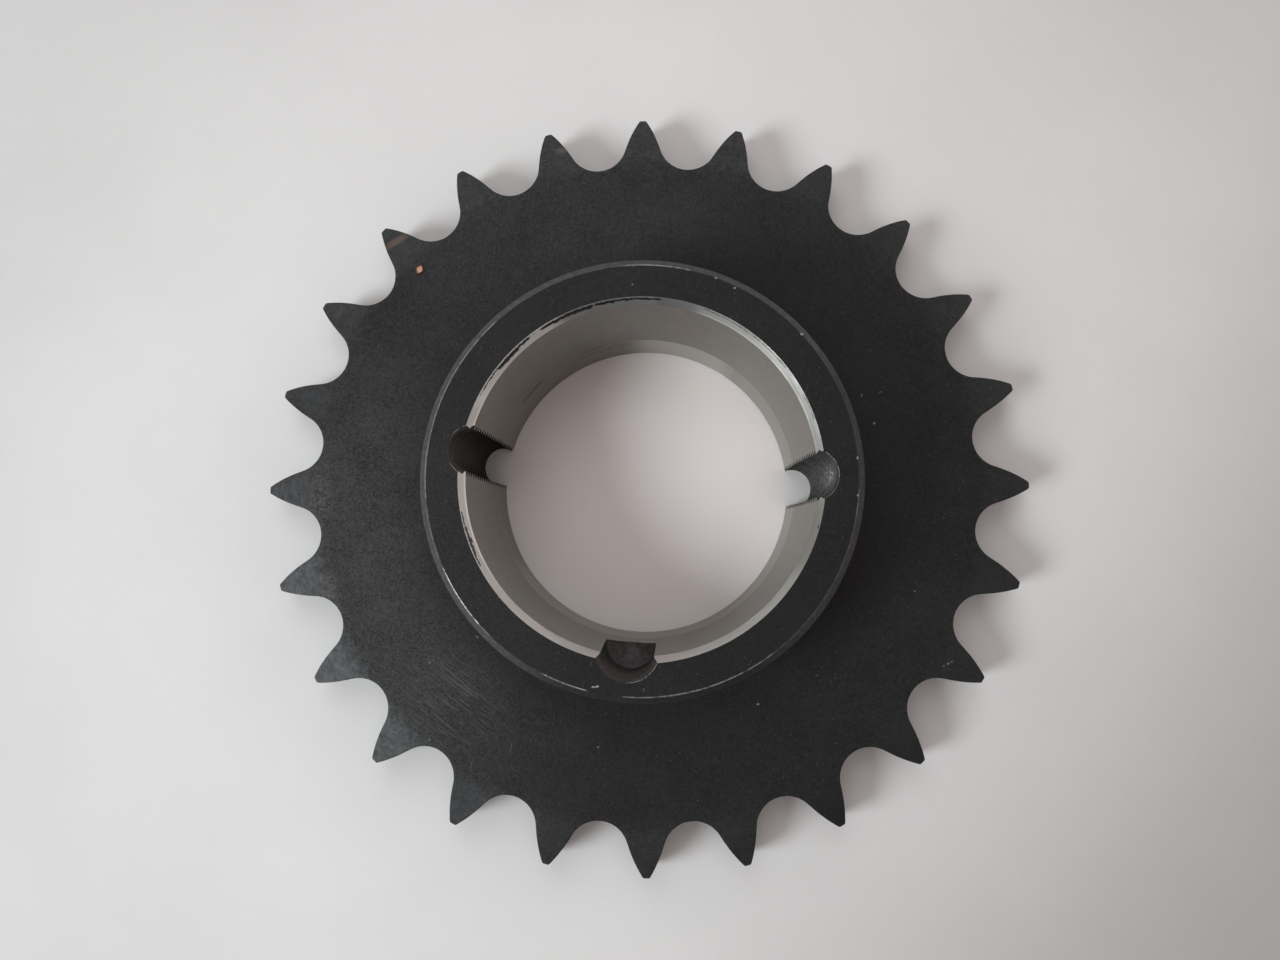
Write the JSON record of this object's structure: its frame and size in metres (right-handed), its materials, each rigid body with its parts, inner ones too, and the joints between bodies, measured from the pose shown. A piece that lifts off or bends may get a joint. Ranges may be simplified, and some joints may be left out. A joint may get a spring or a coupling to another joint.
{
  "type": "roller chain sprocket for a tapered bush",
  "caption": "Roller chain sprocket: toothed steel plate with a one-sided hub, a taper bore for a split bush, and half-holes for the bush screws.",
  "frame": {"origin": "on the bore's axis, in the flat back face that the part rests on", "axes": "+Z along the bore's axis, out through the hub; -Y towards the blind half-hole, midway between the two tapped half-holes"},
  "size_m": [0.2076, 0.2076, 0.0444],
  "materials": {
    "steel": "black oxide over turned steel, with the bore and its mouth chamfer machined bare after blackening"
  },
  "bodies": {
    "root": {"sprocket": "steel"}
  },
  "joints": []
}
